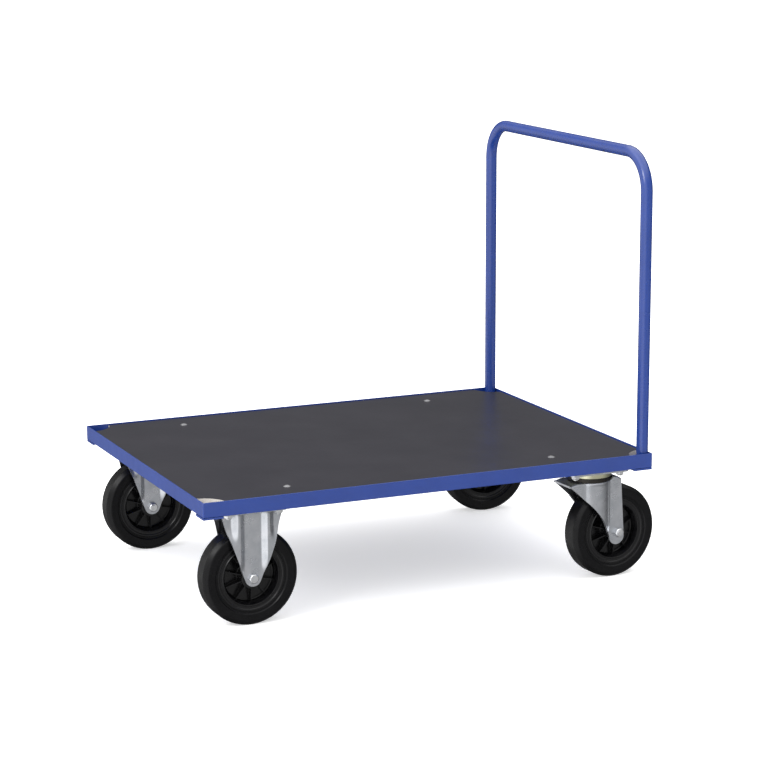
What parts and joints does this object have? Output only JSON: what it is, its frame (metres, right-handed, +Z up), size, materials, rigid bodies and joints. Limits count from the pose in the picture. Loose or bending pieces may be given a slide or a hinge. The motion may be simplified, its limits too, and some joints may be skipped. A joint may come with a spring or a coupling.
{
  "type": "platform cart",
  "caption": "Flat platform cart: steel rim frame, plywood deck, U-shaped tubular push bar, fixed casters in front and swivel casters at the push bar.",
  "frame": {"origin": "on the floor, under the middle of the whole cart's box, parked swivel wheels included", "axes": "+Z up, +X along the deck to the push bar end, +Y to the cart's right side"},
  "size_m": [1.0389, 0.75, 0.911],
  "materials": {
    "frame_paint": "blue powder coat, semi-gloss",
    "bar_paint": "blue powder coat, glossy",
    "deck_plywood": "dark phenolic film on plywood, raw pale edges",
    "zinc_sheet": "bright zinc plated pressed steel",
    "passivated_steel": "yellow passivated zinc",
    "bearing_steel": "polished, greased",
    "zinc_fastener": "bright zinc plated",
    "turned_steel": "turned",
    "tyre_rubber": "moulded black rubber",
    "rim_plastic": "black polypropylene",
    "bearing_plastic": "natural nylon cage with steel rollers"
  },
  "bodies": {
    "chassis": {"axle_bolts_front": "zinc_fastener", "axle_nuts_front": "zinc_fastener", "axle_sleeve_front_left": "turned_steel", "axle_sleeve_front_right": "turned_steel", "caster_bolts": "zinc_fastener", "caster_nuts": "zinc_fastener", "corner_plate_front_left": "frame_paint", "corner_plate_front_right": "frame_paint", "corner_plate_rear_left": "frame_paint", "corner_plate_rear_right": "frame_paint", "cross_member_front_inner": "frame_paint", "cross_member_front_outer": "frame_paint", "cross_member_middle": "frame_paint", "cross_member_rear_inner": "frame_paint", "cross_member_rear_outer": "frame_paint", "deck_bolts": "zinc_fastener", "deck_nuts": "zinc_fastener", "deck_panel": "deck_plywood", "end_rail_front": "frame_paint", "end_rail_rear": "frame_paint", "fixed_fork_left": "zinc_sheet", "fixed_fork_right": "zinc_sheet", "kingpin_nuts": "zinc_fastener", "kingpins": "zinc_fastener", "push_bar": "bar_paint", "push_bar_bolts": "zinc_fastener", "push_bar_plugs": "turned_steel", "race_cup_left": "passivated_steel", "race_cup_right": "passivated_steel", "race_washer_left": "passivated_steel", "race_washer_right": "passivated_steel", "side_rail_left": "frame_paint", "side_rail_right": "frame_paint", "swivel_plate_left": "zinc_sheet", "swivel_plate_right": "zinc_sheet"},
    "swivel_left": {"axle_bolt_rear_left": "zinc_fastener", "axle_nut_rear_left": "zinc_fastener", "axle_sleeve_rear_left": "turned_steel", "lower_balls_left": "bearing_steel", "swivel_fork_left": "zinc_sheet", "upper_balls_left": "bearing_steel"},
    "swivel_right": {"axle_bolt_rear_right": "zinc_fastener", "axle_nut_rear_right": "zinc_fastener", "axle_sleeve_rear_right": "turned_steel", "lower_balls_right": "bearing_steel", "swivel_fork_right": "zinc_sheet", "upper_balls_right": "bearing_steel"},
    "wheel_front_left": {"roller_bearing_front_left": "bearing_plastic", "tyre_front_left": "tyre_rubber", "wheel_rim_front_left": "rim_plastic"},
    "wheel_front_right": {"roller_bearing_front_right": "bearing_plastic", "tyre_front_right": "tyre_rubber", "wheel_rim_front_right": "rim_plastic"},
    "wheel_rear_left": {"roller_bearing_rear_left": "bearing_plastic", "tyre_rear_left": "tyre_rubber", "wheel_rim_rear_left": "rim_plastic"},
    "wheel_rear_right": {"roller_bearing_rear_right": "bearing_plastic", "tyre_rear_right": "tyre_rubber", "wheel_rim_rear_right": "rim_plastic"}
  },
  "joints": [
    {"name": "swivel_left_turn", "type": "hinge", "parent": "chassis", "child": "swivel_left", "pos_m": [0.366, -0.308, 0.22], "axis": [0, 0, 1], "continuous": true},
    {"name": "wheel_front_left_spin", "type": "hinge", "parent": "chassis", "child": "wheel_front_left", "pos_m": [-0.404, -0.308, 0.1], "axis": [0, 1, 0], "continuous": true},
    {"name": "wheel_rear_left_spin", "type": "hinge", "parent": "swivel_left", "child": "wheel_rear_left", "pos_m": [0.41887, -0.3043, 0.1], "axis": [-0.0698, 0.9976, 0], "continuous": true},
    {"name": "swivel_right_turn", "type": "hinge", "parent": "chassis", "child": "swivel_right", "pos_m": [0.366, 0.308, 0.22], "axis": [0, 0, 1], "continuous": true},
    {"name": "wheel_front_right_spin", "type": "hinge", "parent": "chassis", "child": "wheel_front_right", "pos_m": [-0.404, 0.308, 0.1], "axis": [0, 1, 0], "continuous": true},
    {"name": "wheel_rear_right_spin", "type": "hinge", "parent": "swivel_right", "child": "wheel_rear_right", "pos_m": [0.4186, 0.30154, 0.1], "axis": [0.1219, 0.9925, 0], "continuous": true}
  ]
}
